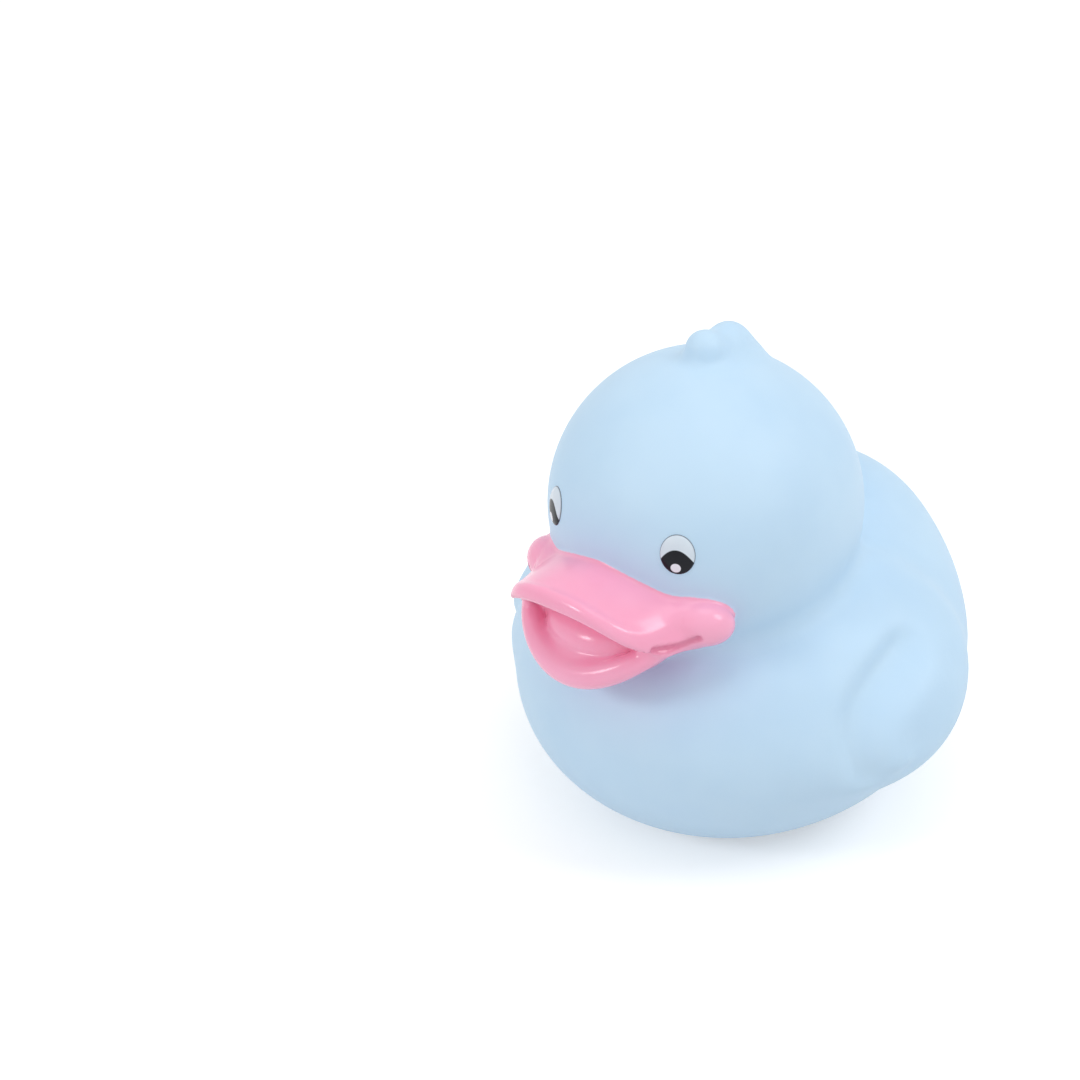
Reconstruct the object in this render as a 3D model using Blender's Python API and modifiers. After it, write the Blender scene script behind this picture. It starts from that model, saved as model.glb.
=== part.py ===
"""A hollow vinyl duck with a squeaker plugged into its flat base.

Metres, +Z up. The duck faces -Y, its left side is +X, and it stands on z = 0.
The skin is one casting: head, bill, tuft, body, wings and tail share a single wall.
"""
import math

import bmesh
import bpy
import numpy as np
from mathutils import Euler, Matrix, Vector

# Torso: an ellipsoid with a slice cut off flat to stand on
TORSO_HALF_WIDTH = 0.0374
TORSO_HALF_LENGTH = 0.0360
TORSO_HALF_HEIGHT = 0.0263
TORSO_SET_BACK = 0.0035
TORSO_TILT = math.radians(5.5)
BASE_SLICE = 0.0033

# Head: a ball sunk into the torso
HEAD_RADIUS = 0.0260
NECK_OVERLAP = 0.0199

# Back and tail
BACK_HALF_WIDTH = 0.0244
BACK_HALF_LENGTH = 0.0156
BACK_HALF_HEIGHT = 0.0224
BACK_SET_BACK = 0.0292
BACK_RISE = 0.0037
BACK_TILT = math.radians(-13.2)
TAIL_HALF_WIDTH = 0.0085
TAIL_HALF_LENGTH = 0.0080
TAIL_HALF_THICKNESS = 0.0040
TAIL_REACH = 0.0118
TAIL_RISE = 0.0043
TAIL_TILT = math.radians(35)

# Shoulders: a low swelling on each side that carries the wing
SHOULDER_HALF_WIDTH = 0.0279
SHOULDER_HALF_LENGTH = 0.0290
SHOULDER_HALF_THICKNESS = 0.0135
SHOULDER_OUT = 0.0110
SHOULDER_SET_BACK = 0.0081
SHOULDER_RISE = 0.0018
SHOULDER_PITCH = math.radians(14.9)

# Wings: folded lobes on the flanks, whose outer edges hang free of the body
WING_HALF_WIDTH = 0.0185
WING_HALF_LENGTH = 0.0194
WING_HALF_THICKNESS = 0.0083
WING_OUT = 0.0273
WING_SET_BACK = 0.0022
WING_RISE = 0.0076
WING_PITCH = math.radians(26.2)
WING_ROLL = math.radians(29.0)
WING_YAW = math.radians(2.9)

# How far each mass melts into the ones before it
BACK_MELT = 0.0071
WING_MELT = 0.0030
TAIL_MELT = 0.0040
NECK_MELT = 0.0036

# Tuft on the crown: a low front curl, a taller rear curl and a fairing behind it
TUFT_FRONT_HALF_WIDTH = 0.0036
TUFT_FRONT_RADIUS = 0.0034
TUFT_REAR_RADIUS = 0.0033
TUFT_FOOT_RADIUS = 0.0050
TUFT_FRONT_LEAN = math.radians(6.0)
TUFT_REAR_LEAN = math.radians(17.5)
TUFT_FOOT_LEAN = math.radians(22.0)
TUFT_FRONT_LIFT = 0.0008
TUFT_REAR_LIFT = 0.0024
TUFT_FOOT_SINK = 0.0016

# Upper bill: a wide shovel that droops to the mouth's corners
BILL_HALF_WIDTH = 0.0158
BILL_REACH = 0.0114
BILL_CORNER_SETBACK = 0.0039
BILL_SQUARENESS = 3.4
BILL_EDGE_ALLOWANCE = 0.0005
BILL_RIM_RISE = 0.0010
BILL_ROOT_RISE = 0.0017
BILL_RIM_DROOP = 0.0104
BILL_RIM_CURL = 3.2
BILL_ROOT_DROOP = 0.0057
BILL_ROOT_CURL = 1.6
BILL_THICKNESS = 0.0025
BILL_ROOT_DEPTH = 0.0060

# Rolled cheeks at the corners of the mouth
CHEEK_RADIUS = 0.0037
CHEEK_HALF_LENGTH = 0.0050
CHEEK_OUT = 0.0008
CHEEK_SET_BACK = 0.0013
CHEEK_RISE = 0.0031
CHEEK_DROOP = math.radians(8)
CHEEK_YAW = math.radians(38)

# Lower bill: a rolled lip round a raised tongue, on a chin
LIP_DROP = 0.0153
LIP_RADIUS = 0.0026
LIP_CORNER_RADIUS = 0.0012
LIP_REACH = 0.0074
LIP_PINCH = 0.14
LIP_PINCH_CURL = 0.5
LIP_DROP_CURL = 2.2
LIP_SWELL_CURL = 0.7
CHIN_HALF_WIDTH = 0.0126
CHIN_HALF_LENGTH = 0.0106
CHIN_HALF_HEIGHT = 0.0060
CHIN_SET_BACK = 0.0104
CHIN_RISE = 0.0021
CHIN_TILT = math.radians(-8)
TONGUE_HALF_WIDTH = 0.0082
TONGUE_HALF_LENGTH = 0.0052
TONGUE_HALF_HEIGHT = 0.0036
TONGUE_SET_BACK = 0.0072
TONGUE_RISE = 0.0023
TONGUE_TILT = math.radians(6)

# Eyes: raised ovals
EYE_HALF_WIDTH = 0.0029
EYE_HALF_HEIGHT = 0.0034
EYE_PROUD = 0.0005
EYE_HALF_DEPTH = 0.0014
EYE_LATITUDE = math.radians(12.6)
EYE_LONGITUDE = math.radians(30.9)

# Walls, creases and the base
WALL = 0.0020
TUFT_CREASE = 0.0015
EDGE_RADIUS = 0.0008
RECESS_DEPTH = 0.0018
SEAT_LIP = 0.0022
SEAT_RADIUS = 0.0068
SEAT_SET_BACK = 0.0015

# Squeaker
CLEARANCE = 0.0003
FLANGE_OVERLAP = 0.0028
FLANGE_THICKNESS = 0.0012
BARB_OVERHANG = 0.0008
BARB_HEIGHT = 0.0024
TUBE_WALL = 0.0018
TUBE_HEIGHT = 0.0070
MOUTH_CHAMFER = 0.0008
HOLDER_RADIUS = 0.0034
HOLDER_DEPTH = 0.0080
COLLAR_OVERHANG = 0.0012
COLLAR_THICKNESS = 0.0010
VENT_RADIUS = 0.0014
REED_GROOVE = 0.0007
REED_THICKNESS = 0.0004
REED_HEIGHT = 0.0060

# Mesh fineness
TURN_STEPS = 40
FINE_VOXEL = 0.0006
MASS_VOXEL = 0.0010
CAVITY_VOXEL = 0.0016
VOXEL_SMOOTHINGS = 4
MELT_ROUNDS = 8
SLOPE_STEP = 0.00005
TINY = 1e-9
WELD = 1e-6
SKIN_FACES_KEPT = 0.037
CAVITY_FACES_KEPT = 0.11

VINYL = ("blue_vinyl", (0.52, 0.72, 0.86, 1.0), 0.42)
CASE_PLASTIC = ("white_polythene", (0.86, 0.87, 0.85, 1.0), 0.38)
HOLDER_PLASTIC = ("clear_polythene", (0.80, 0.83, 0.82, 1.0), 0.30)
REED_PLASTIC = ("reed_film", (0.88, 0.90, 0.92, 1.0), 0.22)

TORSO_CENTRE = Vector((0.0, TORSO_SET_BACK, TORSO_HALF_HEIGHT - BASE_SLICE))
HEAD_CENTRE = Vector((0.0, 0.0, TORSO_CENTRE.z + TORSO_HALF_HEIGHT + HEAD_RADIUS - NECK_OVERLAP))
BACK_CENTRE = Vector((0.0, BACK_SET_BACK, TORSO_CENTRE.z + BACK_RISE))
TAIL_CENTRE = BACK_CENTRE + Vector((0.0, TAIL_REACH, TAIL_RISE))
CASE_TOP = RECESS_DEPTH + SEAT_LIP + CLEARANCE + BARB_HEIGHT + TUBE_HEIGHT


def start_scene():
    for old in list(bpy.data.objects):
        bpy.data.objects.remove(old, do_unlink=True)
    groups = []
    for name in ("duck_toy", "duck_toy_helpers"):
        group = bpy.data.collections.new(name)
        bpy.context.scene.collection.children.link(group)
        groups.append(group)
    return groups


PARTS, HELPERS = start_scene()


def material(finish):
    name, colour, roughness = finish
    made = bpy.data.materials.new(name)
    made.use_nodes = True
    shader = made.node_tree.nodes["Principled BSDF"]
    shader.inputs["Base Color"].default_value = colour
    shader.inputs["Roughness"].default_value = roughness
    shader.inputs["Metallic"].default_value = 0.0
    return made


def helper(name, data):
    made = bpy.data.objects.new(name, data)
    HELPERS.objects.link(made)
    made.hide_render = True
    made.display_type = "WIRE"
    return made


def from_bmesh(name, bm):
    data = bpy.data.meshes.new(name)
    bm.to_mesh(data)
    bm.free()
    return helper(name, data)


def evaluated(obj):
    """A plain mesh of the object with its modifiers applied, in world space and welded."""
    bpy.context.view_layer.update()
    graph = bpy.context.evaluated_depsgraph_get()
    data = bpy.data.meshes.new_from_object(obj.evaluated_get(graph))
    data.transform(obj.matrix_world)
    bm = bmesh.new()
    bm.from_mesh(data)
    bmesh.ops.remove_doubles(bm, verts=bm.verts, dist=1e-7)
    bm.to_mesh(data)
    bm.free()
    return data


def gathered(name, objects):
    """One helper that holds the meshes of several, which it takes the place of."""
    bm = bmesh.new()
    for obj in objects:
        bm.from_mesh(evaluated(obj))
        bpy.data.objects.remove(obj, do_unlink=True)
    return from_bmesh(name, bm)


def fuse(obj, voxel, rounds):
    """Merges the shapes in a helper into one skin."""
    remesh = obj.modifiers.new("fuse", "REMESH")
    remesh.mode = "VOXEL"
    remesh.voxel_size = voxel
    smooth = obj.modifiers.new("round creases", "SMOOTH")
    smooth.factor = 0.5
    smooth.iterations = rounds


def smoothings(radius, voxel):
    """How many smoothings round a crease to about the radius."""
    return max(1, round(1.3 * (radius / voxel) ** 2))


def thin_out(obj, kept):
    """Fewer faces, and a right half that mirrors the left."""
    decimate = obj.modifiers.new("fewer faces", "DECIMATE")
    decimate.ratio = kept
    mirror = obj.modifiers.new("same on both sides", "MIRROR")
    mirror.use_axis[0] = True
    mirror.use_bisect_axis[0] = True
    mirror.bisect_threshold = WELD
    mirror.merge_threshold = WELD


def combine(obj, other, operation):
    bpy.context.view_layer.update()
    modifier = obj.modifiers.new(operation.lower(), "BOOLEAN")
    modifier.operation = operation
    modifier.object = other
    modifier.solver = "EXACT"


def ellipsoid(bm, centre, half_sizes, turn=None):
    place = Matrix.Translation(centre)
    if turn is not None:
        place = place @ turn.to_matrix().to_4x4()
    place = place @ Matrix.Diagonal(Vector(half_sizes)).to_4x4()
    bmesh.ops.create_uvsphere(bm, u_segments=64, v_segments=40, radius=1.0, matrix=place)


def body_masses(inset, with_tail):
    """The ellipsoids of the body, each with how far it melts into the ones before it."""
    masses = []

    def mass(melt, centre, half_sizes, turn=(0, 0, 0)):
        masses.append((melt, Vector(centre), [size - inset for size in half_sizes], Euler(turn, "YXZ")))

    mass(0.0, TORSO_CENTRE, (TORSO_HALF_WIDTH, TORSO_HALF_LENGTH, TORSO_HALF_HEIGHT), (TORSO_TILT, 0, 0))
    mass(BACK_MELT, BACK_CENTRE, (BACK_HALF_WIDTH, BACK_HALF_LENGTH, BACK_HALF_HEIGHT), (BACK_TILT, 0, 0))
    for side in (1, -1):
        mass(BACK_MELT, (side * SHOULDER_OUT, SHOULDER_SET_BACK, TORSO_CENTRE.z + SHOULDER_RISE),
             (SHOULDER_HALF_WIDTH, SHOULDER_HALF_LENGTH, SHOULDER_HALF_THICKNESS), (SHOULDER_PITCH, 0, 0))
    for side in (1, -1):
        mass(WING_MELT, (side * WING_OUT, WING_SET_BACK, TORSO_CENTRE.z + WING_RISE),
             (WING_HALF_WIDTH, WING_HALF_LENGTH, WING_HALF_THICKNESS),
             (WING_PITCH, side * WING_ROLL, side * WING_YAW))
    if with_tail:
        mass(TAIL_MELT, TAIL_CENTRE, (TAIL_HALF_WIDTH, TAIL_HALF_LENGTH, TAIL_HALF_THICKNESS),
             (TAIL_TILT, 0, 0))
    mass(NECK_MELT, HEAD_CENTRE, (HEAD_RADIUS,) * 3)
    return masses


def melted(points, masses):
    """How far outside the melted masses each point is, nearly, and less than 0 inside."""
    total = None
    for melt, centre, half_sizes, turn in masses:
        local = (points - np.array(centre)) @ np.array(turn.to_matrix())
        half = np.array(half_sizes)
        reach = np.linalg.norm(local / half, axis=1)
        slope = np.linalg.norm(local / half ** 2, axis=1)
        value = reach * (reach - 1.0) / np.maximum(slope, TINY)
        if total is None:
            total = value
        else:
            share = np.clip(0.5 + 0.5 * (value - total) / melt, 0.0, 1.0)
            total = value + (total - value) * share - melt * share * (1.0 - share)
    return total


def draw_onto_melt(data, masses):
    """Moves a mesh's vertices onto the surface of the melted masses, a few steps down the slope."""
    points = np.empty(len(data.vertices) * 3)
    data.vertices.foreach_get("co", points)
    points = points.reshape(-1, 3)
    for _ in range(MELT_ROUNDS):
        slope = np.stack([melted(points + step, masses) - melted(points - step, masses)
                          for step in np.eye(3) * SLOPE_STEP], axis=1) / (2 * SLOPE_STEP)
        steepness = np.maximum((slope ** 2).sum(axis=1), 0.1)
        points -= (melted(points, masses) / steepness)[:, None] * slope
    data.vertices.foreach_set("co", points.ravel())


def soft_masses(name, voxel, inset=0.0, with_tail=True):
    """Torso, back, shoulders, wings, tail and head in one skin, each drawn in by the inset."""
    masses = body_masses(inset, with_tail)
    bm = bmesh.new()
    for _, centre, half_sizes, turn in masses:
        ellipsoid(bm, centre, half_sizes, turn)
    rough = from_bmesh(name, bm)
    fuse(rough, voxel, VOXEL_SMOOTHINGS)
    made = gathered(name, [rough])
    draw_onto_melt(made.data, masses)
    return made


def on_crown(lean, lift):
    """A point over the crown, leaning back from the pole by an angle."""
    reach = HEAD_RADIUS + lift
    return HEAD_CENTRE + Vector((0.0, reach * math.sin(lean), reach * math.cos(lean)))


def tuft():
    bm = bmesh.new()
    front, rear, foot = TUFT_FRONT_RADIUS, TUFT_REAR_RADIUS, TUFT_FOOT_RADIUS
    ellipsoid(bm, on_crown(TUFT_FRONT_LEAN, TUFT_FRONT_LIFT), (TUFT_FRONT_HALF_WIDTH, front, front))
    ellipsoid(bm, on_crown(TUFT_REAR_LEAN, TUFT_REAR_LIFT), (rear, rear, rear))
    ellipsoid(bm, on_crown(TUFT_FOOT_LEAN, -TUFT_FOOT_SINK), (foot, foot, foot))
    return from_bmesh("tuft", bm)


def bill_front(share):
    """How far forward the upper bill's rim is, at a share of its half width."""
    corner = HEAD_RADIUS - BILL_CORNER_SETBACK
    length = HEAD_RADIUS + BILL_REACH - corner
    return corner + length * (1.0 - abs(share) ** BILL_SQUARENESS) ** (1.0 / BILL_SQUARENESS)


def upper_bill():
    """A curved sheet from the head to the rim, thickened and smoothed."""
    bm = bmesh.new()
    bmesh.ops.create_grid(bm, x_segments=16, y_segments=5, size=1.0)
    for vert in bm.verts:
        share = math.sin(vert.co.x * math.pi / 2)
        run = (vert.co.y + 1.0) / 2.0
        x = (BILL_HALF_WIDTH + BILL_EDGE_ALLOWANCE) * share
        root_front = math.sqrt(max(HEAD_RADIUS ** 2 - x ** 2, 0.0)) - BILL_ROOT_DEPTH
        rim_z = BILL_RIM_RISE - BILL_RIM_DROOP * abs(share) ** BILL_RIM_CURL
        root_z = BILL_ROOT_RISE - BILL_ROOT_DROOP * abs(share) ** BILL_ROOT_CURL
        front = root_front + (bill_front(share) - root_front) * run
        vert.co = HEAD_CENTRE + Vector((x, -front, root_z + (rim_z - root_z) * run))
    made = from_bmesh("upper_bill", bm)
    sheet = made.modifiers.new("sheet", "SOLIDIFY")
    sheet.thickness = BILL_THICKNESS
    sheet.offset = 1.0
    smooth = made.modifiers.new("smooth", "SUBSURF")
    smooth.levels = smooth.render_levels = 2
    return made


def mouth_corner(side):
    front = HEAD_RADIUS - BILL_CORNER_SETBACK
    return HEAD_CENTRE + Vector((side * BILL_HALF_WIDTH, -front, BILL_RIM_RISE - BILL_RIM_DROOP))


def cheeks():
    bm = bmesh.new()
    for side in (1, -1):
        centre = mouth_corner(side) + Vector((side * CHEEK_OUT, CHEEK_SET_BACK, CHEEK_RISE))
        turn = Euler((0.0, side * CHEEK_DROOP, side * CHEEK_YAW))
        ellipsoid(bm, centre, (CHEEK_HALF_LENGTH, CHEEK_RADIUS, CHEEK_RADIUS), turn)
    return from_bmesh("cheeks", bm)


def lip_path(turn):
    """The middle of the lower lip's roll: from the right corner at 0 to the left corner at 1."""
    angle = math.pi * (1.0 - turn)
    corner = mouth_corner(1)
    lowest = HEAD_CENTRE.z - LIP_DROP
    depth = HEAD_RADIUS + LIP_REACH + corner.y
    share = math.sin(angle)
    x = corner.x * math.cos(angle) * (1.0 - LIP_PINCH * share ** LIP_PINCH_CURL)
    z = corner.z + (lowest - corner.z) * share ** LIP_DROP_CURL
    return Vector((x, corner.y - depth * share, z))


def lower_lip():
    steps = 24
    curve = bpy.data.curves.new("lower_lip", "CURVE")
    curve.dimensions = "3D"
    curve.bevel_depth = LIP_RADIUS
    curve.bevel_resolution = 6
    curve.use_fill_caps = True
    spline = curve.splines.new("POLY")
    spline.points.add(steps)
    for number, point in enumerate(spline.points):
        turn = number / steps
        point.co = lip_path(turn).to_4d()
        swell = math.sin(math.pi * turn) ** LIP_SWELL_CURL
        point.radius = (LIP_CORNER_RADIUS + (LIP_RADIUS - LIP_CORNER_RADIUS) * swell) / LIP_RADIUS
    made = helper("lower_lip", curve)
    bpy.context.view_layer.update()
    data = evaluated(made)
    bpy.data.objects.remove(made, do_unlink=True)
    return helper("lower_lip", data)


def chin_and_tongue():
    bm = bmesh.new()
    lip = lip_path(0.5)
    ellipsoid(bm, lip + Vector((0.0, CHIN_SET_BACK, CHIN_RISE)),
              (CHIN_HALF_WIDTH, CHIN_HALF_LENGTH, CHIN_HALF_HEIGHT), Euler((CHIN_TILT, 0, 0)))
    ellipsoid(bm, lip + Vector((0.0, TONGUE_SET_BACK, TONGUE_RISE)),
              (TONGUE_HALF_WIDTH, TONGUE_HALF_LENGTH, TONGUE_HALF_HEIGHT), Euler((TONGUE_TILT, 0, 0)))
    return from_bmesh("chin_and_tongue", bm)


def slab(name, top):
    """A block that reaches far down from a height, to cut a flat base."""
    bm = bmesh.new()
    span = 4 * (TORSO_HALF_WIDTH + BACK_SET_BACK)
    bmesh.ops.create_cube(bm, size=span, matrix=Matrix.Translation((0.0, 0.0, top - span / 2)))
    return from_bmesh(name, bm)


def eye_place(side):
    out = Vector((side * math.sin(EYE_LONGITUDE) * math.cos(EYE_LATITUDE),
                  -math.cos(EYE_LONGITUDE) * math.cos(EYE_LATITUDE), math.sin(EYE_LATITUDE)))
    return HEAD_CENTRE + out * (HEAD_RADIUS + EYE_PROUD - EYE_HALF_DEPTH), out


def eyes():
    bm = bmesh.new()
    for side in (1, -1):
        centre, out = eye_place(side)
        turn = out.to_track_quat("Z", "Y").to_matrix().to_4x4()
        place = Matrix.Translation(centre) @ turn
        place = place @ Matrix.Diagonal((EYE_HALF_WIDTH, EYE_HALF_HEIGHT, EYE_HALF_DEPTH, 1.0))
        bmesh.ops.create_uvsphere(bm, u_segments=24, v_segments=12, radius=1.0, matrix=place)
    return from_bmesh("eyes", bm)


def turned(name, profile, on_axis=False):
    """A profile of (radius, height) points, outer side running down, turned round the Z axis."""
    bm = bmesh.new()
    verts = [bm.verts.new((radius, 0.0, height)) for radius, height in profile]
    ends = [] if on_axis else [(verts[-1], verts[0])]
    for pair in list(zip(verts, verts[1:])) + ends:
        bm.edges.new(pair)
    made = from_bmesh(name, bm)
    screw = made.modifiers.new("turn", "SCREW")
    screw.steps = screw.render_steps = TURN_STEPS
    screw.use_merge_vertices = True
    screw.merge_threshold = 1e-6
    made.location.y = SEAT_SET_BACK
    return made


def seat_cutter():
    """The recess in the base and the hole that the squeaker snaps into."""
    recess = SEAT_RADIUS + FLANGE_OVERLAP + CLEARANCE
    top = RECESS_DEPTH + SEAT_LIP + WALL
    profile = [(0.0, top), (SEAT_RADIUS, top), (SEAT_RADIUS, RECESS_DEPTH), (recess, RECESS_DEPTH),
               (recess, -RECESS_DEPTH), (0.0, -RECESS_DEPTH)]
    return turned("seat_cutter", profile, on_axis=True)


def finished(name, helper_object, finish):
    """A part made from a helper's evaluated shape, which it takes the place of."""
    data = evaluated(helper_object)
    bpy.data.objects.remove(helper_object, do_unlink=True)
    data.shade_smooth()
    data.set_sharp_from_angle(angle=math.radians(40))
    made = bpy.data.objects.new(name, data)
    made.data.materials.append(material(finish))
    PARTS.objects.link(made)
    return made


def duck_body():
    crowned = gathered("crowned", [soft_masses("masses", MASS_VOXEL), tuft()])
    fuse(crowned, FINE_VOXEL, smoothings(TUFT_CREASE, FINE_VOXEL))
    skin = gathered("skin", [crowned, upper_bill(), cheeks(), lower_lip(), chin_and_tongue()])
    fuse(skin, FINE_VOXEL, smoothings(EDGE_RADIUS, FINE_VOXEL))
    thin_out(skin, SKIN_FACES_KEPT)
    cavity = soft_masses("cavity", CAVITY_VOXEL, WALL, with_tail=False)
    thin_out(cavity, CAVITY_FACES_KEPT)
    combine(cavity, slab("cavity_floor", RECESS_DEPTH + SEAT_LIP), "DIFFERENCE")
    combine(skin, slab("ground", 0.0), "DIFFERENCE")
    combine(skin, eyes(), "UNION")
    combine(skin, cavity, "DIFFERENCE")
    combine(skin, seat_cutter(), "DIFFERENCE")
    return finished("duck_body", skin, VINYL)


def squeaker_case():
    """The plug that snaps into the base: flange, neck, barb and tube round one bore."""
    flange_top = RECESS_DEPTH - CLEARANCE
    flange_low = flange_top - FLANGE_THICKNESS
    neck_top = RECESS_DEPTH + SEAT_LIP + CLEARANCE
    barb_top = neck_top + BARB_HEIGHT
    neck = SEAT_RADIUS - CLEARANCE
    bore = HOLDER_RADIUS + CLEARANCE
    tube = bore + TUBE_WALL
    flange = SEAT_RADIUS + FLANGE_OVERLAP
    profile = [(bore, CASE_TOP), (tube, CASE_TOP), (tube, barb_top), (neck, barb_top),
               (SEAT_RADIUS + BARB_OVERHANG, neck_top), (neck, neck_top), (neck, flange_top),
               (flange, flange_top), (flange, flange_low),
               (bore + MOUTH_CHAMFER, flange_low), (bore, flange_low + MOUTH_CHAMFER)]
    return finished("squeaker_case", turned("case_profile", profile), CASE_PLASTIC)


def reed_holder():
    """A collared tube that hangs in the case's bore, with a groove for the reed."""
    low = CASE_TOP + CLEARANCE
    collar = HOLDER_RADIUS + COLLAR_OVERHANG
    top = low + COLLAR_THICKNESS
    foot = CASE_TOP - HOLDER_DEPTH
    profile = [(VENT_RADIUS, top), (collar, top), (collar, low), (HOLDER_RADIUS, low),
               (HOLDER_RADIUS, foot), (VENT_RADIUS, foot)]
    made = turned("holder_profile", profile)
    combine(made, groove_cutter(top), "DIFFERENCE")
    return finished("reed_holder", made, HOLDER_PLASTIC)


def reed_half_width():
    return VENT_RADIUS + REED_GROOVE - CLEARANCE


def groove_cutter(top):
    bm = bmesh.new()
    width = 2 * (VENT_RADIUS + REED_GROOVE)
    depth = REED_HEIGHT + 2 * CLEARANCE
    bmesh.ops.create_cube(bm, size=1.0, matrix=Matrix.Translation((0.0, SEAT_SET_BACK, top))
                          @ Matrix.Diagonal((width, REED_THICKNESS + 2 * CLEARANCE, 2 * depth, 1.0)))
    return from_bmesh("groove_cutter", bm)


def reed():
    """A thin plastic strip that stands in the holder's groove and buzzes as air passes."""
    top = CASE_TOP + CLEARANCE + COLLAR_THICKNESS - CLEARANCE
    bm = bmesh.new()
    bmesh.ops.create_cube(bm, size=1.0, matrix=Matrix.Translation((0.0, SEAT_SET_BACK, top - REED_HEIGHT / 2))
                          @ Matrix.Diagonal((2 * reed_half_width(), REED_THICKNESS, REED_HEIGHT, 1.0)))
    return finished("reed", from_bmesh("reed_strip", bm), REED_PLASTIC)


def stand_on_origin(parts):
    """Moves the toy so that the origin lies under the middle of the body's outline."""
    frame = bpy.data.objects.new("toy_origin", None)
    PARTS.objects.link(frame)
    depths = [corner[1] for corner in parts[0].bound_box]
    for part in parts:
        part.parent = frame
    frame.location.y = -(min(depths) + max(depths)) / 2


if __name__ == "__main__":
    stand_on_origin([duck_body(), squeaker_case(), reed_holder(), reed()])
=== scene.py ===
import math

import bmesh
import bpy
import numpy as np
from mathutils import Matrix, Vector


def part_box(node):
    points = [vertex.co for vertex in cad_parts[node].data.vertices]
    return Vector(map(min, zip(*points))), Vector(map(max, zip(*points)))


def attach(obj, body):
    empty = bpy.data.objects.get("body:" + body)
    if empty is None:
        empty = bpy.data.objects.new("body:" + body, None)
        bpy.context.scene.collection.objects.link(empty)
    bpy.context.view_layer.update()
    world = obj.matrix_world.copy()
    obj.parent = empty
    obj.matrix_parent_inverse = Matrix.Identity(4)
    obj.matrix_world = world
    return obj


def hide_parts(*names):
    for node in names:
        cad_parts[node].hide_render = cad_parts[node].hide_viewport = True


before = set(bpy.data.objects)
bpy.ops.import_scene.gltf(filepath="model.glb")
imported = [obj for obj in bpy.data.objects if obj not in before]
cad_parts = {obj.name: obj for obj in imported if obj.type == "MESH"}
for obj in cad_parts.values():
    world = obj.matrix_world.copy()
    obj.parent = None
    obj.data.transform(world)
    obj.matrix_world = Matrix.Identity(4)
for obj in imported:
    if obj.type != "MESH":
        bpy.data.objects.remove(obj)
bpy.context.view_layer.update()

MM = 0.001
SEAT_SET_BACK = 1.5
case_low, case_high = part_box("squeaker_case")
SEAT_Y = (case_low[1] + case_high[1]) / 2 / MM
HEAD_Y = SEAT_Y - SEAT_SET_BACK

# The skin is worked out in millimetres, in the frame's axes
HEAD = np.array((0.0, HEAD_Y, 55.4))
HEAD_R = 26.0
TORSO = (0.0, HEAD_Y + 3.5, 23.0)
TORSO_R = (37.4, 36.0, 26.3)
TORSO_TURN = (5.5, 0.0, 0.0)
BACK = (0.0, HEAD_Y + 29.2, 26.7)
BACK_R = (24.4, 15.6, 22.4)
BACK_TURN = (-13.2, 0.0, 0.0)
SHOULDER = (11.0, HEAD_Y + 8.1, 24.8)
SHOULDER_R = (27.9, 29.0, 13.5)
SHOULDER_TURN = (14.9, 0.0, 0.0)
WING = (27.3, HEAD_Y + 2.2, 30.6)
WING_R = (18.5, 19.4, 8.3)
WING_TURN = (26.2, 29.0, 2.9)
TAIL = (0.0, HEAD_Y + 41.0, 31.0)
TAIL_R = (8.5, 8.0, 4.0)
TAIL_TURN = (35.0, 0.0, 0.0)
BACK_BLEND, WING_BLEND, TAIL_BLEND, NECK_BLEND = 7.1, 5.5, 4.0, 3.6
FOOT_ROUND = 0.8

# Tuft on the crown: lean from the pole in degrees, height of the centre over the head, radii
TUFT = ((5.6, 1.3, (3.4, 3.2, 3.2)),
        (17.5, 1.6, (3.0, 3.1, 3.0)),
        (20.0, -2.2, (5.2, 6.5, 5.2)))
TUFT_BLEND = 2.6
TUFT_FOOT_BLEND = 2.4

# Bill, in mm from the middle of the head, with the side, forward and up as its axes
BILL_W = 15.8
BILL_BACK = 22.1
BILL_FRONT = 37.4
BILL_SQUARE = 3.2
RIM_Z, RIM_DROOP, RIM_POWER = 1.0, 9.4, 2.9
ROOT_Z, ROOT_DROOP, ROOT_POWER = 1.7, 5.7, 1.6
SHEET_RIM, SHEET_THIN, SHEET_ROOT = 3.1, 1.3, 4.6
ROLL_LIFT, ROLL_IN, ROLL_WIDE = 0.3, 1.1, 1.0
SHEET_ROUND, EDGE_ROUND = 0.8, 1.6
CHEEK = (16.6, 20.8, -6.3)
CHEEK_R = (5.0, 3.7, 3.7)
CHEEK_LEAN, CHEEK_YAW = 8.0, 38.0
CHEEK_BLEND = 3.0
LIP_LOW, LIP_FRONT, LIP_PINCH = -13.9, 35.3, 0.045
LIP_BACK, LIP_CORNER_Z = 22.6, -7.4
LIP_R, LIP_CORNER_R = 2.35, 0.9
CHIN = (0.0, 24.0, -11.8)
CHIN_R = (11.6, 11.0, 5.2)
CHIN_TILT = -4.0
TONGUE = (0.0, 27.5, -9.7)
TONGUE_R = (9.8, 6.5, 4.1)
THROAT = (0.0, 23.5, -8.4)
THROAT_R = (16.0, 7.8, 3.6)
WEB = (13.9, 27.4, -7.7)
WEB_R = (1.5, 4.4, 1.9)
WEB_YAW = 25.0
CHIN_BLEND, WEB_BLEND, THROAT_BLEND, TONGUE_BLEND = 1.6, 0.8, 1.0, 0.35
LIPS_BLEND, FACE_BLEND = 0.9, 1.1
SLIT = ((14.6, 30.6, -6.9), (15.4, 28.2, -7.6), (16.6, 25.5, -7.9), (18.2, 24.0, -6.9))
SLIT_R, SLIT_ROUND = 0.45, 0.4

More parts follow.
